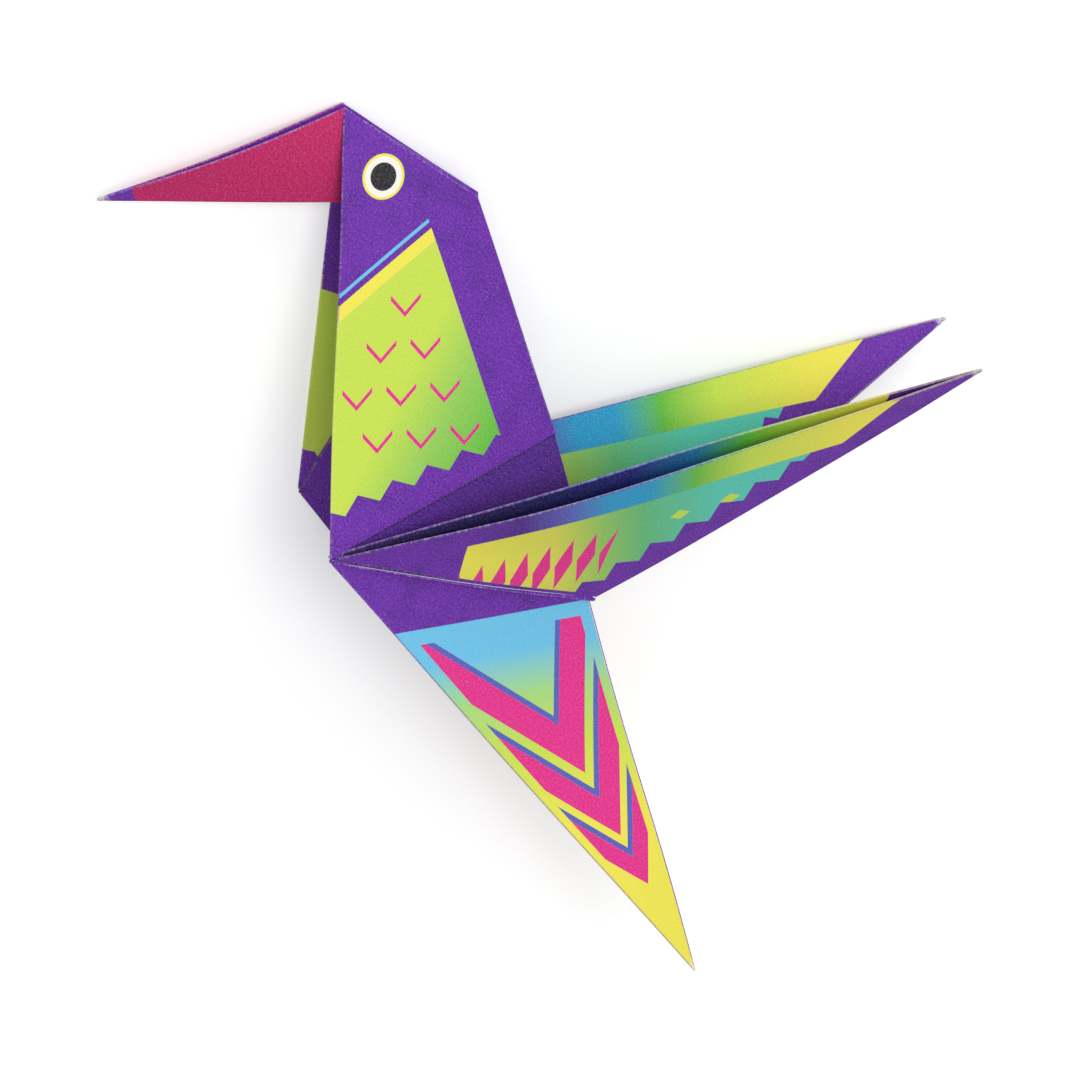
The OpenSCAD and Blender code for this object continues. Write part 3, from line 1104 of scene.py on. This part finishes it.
    def tail_print(self, g: InkGraph, f: PrintFields, ground: Socket) -> Socket:
        """The tail's print: sky to lime to yellow under nested magenta chevrons."""
        k = self.inks
        tail = g.times(f.tail, f.outer_layer)
        level = g.sloped(f.from_side, 0.37, f.along)
        colour = g.ramp(level, (
            (22.0, k.sky), (27.0, k.sky), (33.0, k.pale_green), (40.0, k.lime), (52.0, k.yellow),
            (75.0, k.yellow),
        ))
        made = g.paint(ground, colour, g.times(tail, g.over(level, 22.0)))
        half = g.math("MULTIPLY", g.math("SUBTRACT", self.sizes.point_length, f.along), (sqrt(2) - 1) / 2)
        off_axis = g.math("ABSOLUTE", g.math("SUBTRACT", f.from_side, half))
        vee = g.sloped(off_axis, 1.9, f.along)
        room = g.math("SUBTRACT", half, off_axis)
        for low, high, margin in ((35.0, 42.5, 1.5), (46.5, 52.5, 1.2), (56.0, 60.5, 1.0)):
            inside = g.all_of(tail, g.over(room, margin), g.over(level, 24.0))
            made = g.paint(made, k.violet, g.times(inside, g.band(vee, low - 1.5, low)))
            made = g.paint(made, k.magenta, g.times(inside, g.band(vee, low, high)))
        return made

    def material(self) -> bpy.types.Material:
        """The printed side's finish: inks with grain, specks and worn folds, painted shade under the wings, in
        the slots and in the neck's crease, on slightly rough paper.

        Returns:
            The material.
        """
        made = bpy.data.materials.new("printed paper face")
        made.use_nodes = True
        g, k = InkGraph(made.node_tree), self.inks
        shader = made.node_tree.nodes["Principled BSDF"]
        place = g.node("ShaderNodeAttribute")
        place.attribute_name = PLACE
        wear = g.node("ShaderNodeAttribute")
        wear.attribute_name = WEAR
        spot = place.outputs["Vector"]
        f = self.fields(g, spot)
        cloud = g.noise(spot, 0.22, 3.0)
        colour = g.paint(k.deep_purple, k.purple, g.over(cloud, 0.36, 0.22))
        for part in (self.head_and_chest, self.beak, self.wings, self.slots, self.tail_print):
            colour = part(g, f, colour)

        # Painted shade: the body under each wing, between the neck's crease and the wing fold, darkened where
        # the wing shades it
        body = g.all_of(f.wing, f.head_half, f.outer_layer, g.under(f.past_root, 1.2))
        colour = g.paint(colour, k.shaded_body_purple, g.times(body, 0.75))
        # Painted shade: a dark line along the neck's crease on the outer layer
        crease = g.all_of(g.under(f.along, 0.13, 0.05), f.head_half, f.outer_layer)
        colour = g.paint(colour, k.crease, g.times(crease, 0.8))
        mottle = g.noise(spot, 3.8, 4.0, 0.65)
        colour = g.paint(colour, k.bare, g.times(g.over(mottle, 0.56, 0.2), 0.075))
        colour = g.paint(colour, k.deep_purple, g.times(g.under(mottle, 0.42, 0.2), 0.07))
        clusters = g.over(g.noise(spot, 0.8, 3.0, 0.6), 0.44, 0.12)
        specks = g.over(g.noise(spot, 6.4, 2.0, 0.55), 0.71, 0.05)
        colour = g.paint(colour, k.white, g.times(specks, g.sloped(clusters, 0.4, 0.18)))
        uneven = g.times(g.noise(spot, 1.9, 4.0, 0.7), 0.9)
        rubbed = g.math("SUBTRACT", g.plus(wear.outputs["Fac"], uneven), 0.95)
        worn = g.over(rubbed, 0.24, 0.26)
        colour = g.paint(colour, k.white, g.times(worn, 0.4))
        rubbed_tip = g.times(g.over(f.up_fold, 79.9, 0.5), g.over(g.noise(spot, 2.4, 3.0), 0.45, 0.1))
        colour = g.paint(colour, k.white, g.times(rubbed_tip, 0.6))
        g.put(shader.inputs["Base Color"], colour)
        self.surface(g, shader, spot)
        return made

    @staticmethod
    def surface(g: InkGraph, shader: bpy.types.Node, spot: Socket) -> None:
        """Give a shader the sheet's roughness and fibres.

        Args:
            g: the graph.
            shader: the shader.
            spot: the place on the sheet.
        """
        fibres = g.noise(spot, 4.5, 6.0, 0.7)
        g.put(shader.inputs["Roughness"], g.sloped(fibres, 0.3, 0.44))
        shader.inputs["Specular IOR Level"].default_value = 0.22
        bump = g.node("ShaderNodeBump")
        bump.inputs["Strength"].default_value = 0.35
        bump.inputs["Distance"].default_value = 0.00006
        g.put(bump.inputs["Height"], fibres)
        g.put(shader.inputs["Normal"], bump.outputs["Normal"])


@dataclass(frozen=True)
class PlainPaper:
    """Unprinted paper: the sheet's back, or its cut sides."""

    name: str
    ground: Ink
    shade: Ink

    def material(self) -> bpy.types.Material:
        """The finish: pale paper with soft clouds and fibres."""
        made = bpy.data.materials.new(self.name)
        made.use_nodes = True
        g = InkGraph(made.node_tree)
        shader = made.node_tree.nodes["Principled BSDF"]
        place = g.node("ShaderNodeAttribute")
        place.attribute_name = PLACE
        spot = place.outputs["Vector"]
        cloud = g.over(g.noise(spot, 1.3, 5.0, 0.65), 0.5, 0.25)
        g.put(shader.inputs["Base Color"], g.paint(self.shade, self.ground, cloud))
        PrintedSide.surface(g, shader, spot)
        return made


@dataclass(frozen=True)
class Studio:
    """The pale floor, the soft lamps and the camera."""

    floor_half: float = 3.0
    floor_glow: float = 0.3
    fill: float = 0.5

    def floor(self) -> None:
        """A plain pale floor at z = 0: a flat grid with a soft, nearly white finish."""
        at = np.linspace(-self.floor_half, self.floor_half, 3)
        x, y = np.meshgrid(at, at, indexing="ij")
        points = np.stack([x, y, np.zeros_like(x)], -1).reshape(-1, 3)
        grid = np.arange(9).reshape(3, 3)
        quads = np.stack([grid[:-1, :-1], grid[1:, :-1], grid[1:, 1:], grid[:-1, 1:]], -1).reshape(-1, 4)
        mesh = bpy.data.meshes.new("floor")
        mesh.from_pydata(points.tolist(), [], quads.tolist())
        floor = bpy.data.objects.new("floor", mesh)
        bpy.context.scene.collection.objects.link(floor)
        made = bpy.data.materials.new("pale floor")
        made.use_nodes = True
        shader = made.node_tree.nodes["Principled BSDF"]
        shader.inputs["Base Color"].default_value = (0.93, 0.93, 0.93, 1)
        shader.inputs["Roughness"].default_value = 0.9
        shader.inputs["Specular IOR Level"].default_value = 0.1
        shader.inputs["Emission Color"].default_value = (1, 1, 1, 1)
        g = InkGraph(made.node_tree)
        rays = g.node("ShaderNodeLightPath")
        g.put(shader.inputs["Emission Strength"], g.times(rays.outputs["Is Camera Ray"], self.floor_glow))
        mesh.materials.append(made)

    def lamp(self, name: str, place: tuple[float, float, float], size: float, watts: float) -> None:
        """A square soft lamp that looks at the object.

        Args:
            name: the lamp's name.
            place: where it hangs, in metres.
            size: its side, in metres.
            watts: its power.
        """
        data = bpy.data.lights.new(name, "AREA")
        data.shape, data.size, data.energy = "SQUARE", size, watts
        lamp = bpy.data.objects.new(name, data)
        lamp.location = place
        lamp.rotation_euler = (-Vector(place)).to_track_quat("-Z", "Y").to_euler()
        bpy.context.scene.collection.objects.link(lamp)

    def world(self) -> None:
        """A plain white surround, which fills the shadows and is white to the camera."""
        world = bpy.data.worlds.new("white surround")
        world.use_nodes = True
        tree = world.node_tree
        tree.nodes.clear()
        g = InkGraph(tree)
        rays = g.node("ShaderNodeLightPath")
        seen = g.any_of(rays.outputs["Is Camera Ray"], rays.outputs["Is Transmission Ray"])
        back = g.node("ShaderNodeBackground")
        back.inputs["Color"].default_value = (1, 1, 1, 1)
        g.put(back.inputs["Strength"], g.sloped(seen, 1 - self.fill, self.fill))
        out = g.node("ShaderNodeOutputWorld")
        g.put(out.inputs["Surface"], back.outputs[0])
        bpy.context.scene.world = world

    def camera(self) -> None:
        """The photograph's camera: its place, its turn and its angle of view."""
        data = bpy.data.cameras.new("camera")
        data.sensor_fit, data.angle = "HORIZONTAL", radians(9.310)
        data.clip_start, data.clip_end = 0.01, 20.0
        right, up, back = (-0.2108, -0.9555, 0.2063), (0.7704, -0.2923, -0.5666), (0.6017, 0.0395, 0.7978)
        camera = bpy.data.objects.new("camera", data)
        turn = Matrix((right, up, back)).transposed().to_quaternion()
        camera.rotation_mode, camera.rotation_quaternion = "QUATERNION", turn
        camera.location = (0.46809, 0.03913, 0.63071)
        bpy.context.scene.collection.objects.link(camera)
        bpy.context.scene.camera = camera

    def build(self) -> None:
        """Set the whole studio up."""
        self.floor()
        self.world()
        self.lamp("key lamp", (0.46, -0.20, 0.86), 0.5, 4.0)
        self.lamp("side lamp", (0.92, -0.50, 0.25), 0.4, 2.4)
        self.camera()
        bpy.context.scene.view_settings.view_transform = "Standard"
        log.info("studio: floor, surround, 2 lamps, camera")


def corners(box: tuple[Vector, Vector]) -> list[list[float]]:
    """A box's two corners as plain lists of numbers."""
    return [[float(x) for x in corner] for corner in box]


def main() -> None:
    """Build the sheet and the studio."""
    logging.basicConfig(level=logging.INFO, format="%(name)s: %(message)s")
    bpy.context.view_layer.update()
    studio = Studio()
    studio.build()
    sizes = FoldSizes()
    finishes = [
        PrintedSide(sizes, Inks()).material(),
        PlainPaper("bare paper back", Ink(246, 245, 241), Ink(236, 235, 230)).material(),
        PlainPaper("cut paper edge", Ink(196, 186, 200), Ink(160, 146, 172)).material(),
    ]
    sheet = PaperSheet(BirdFold(sizes)).build(finishes)
    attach(sheet, "root")
    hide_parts("folded_sheet")


if __name__ == "__main__":
    main()
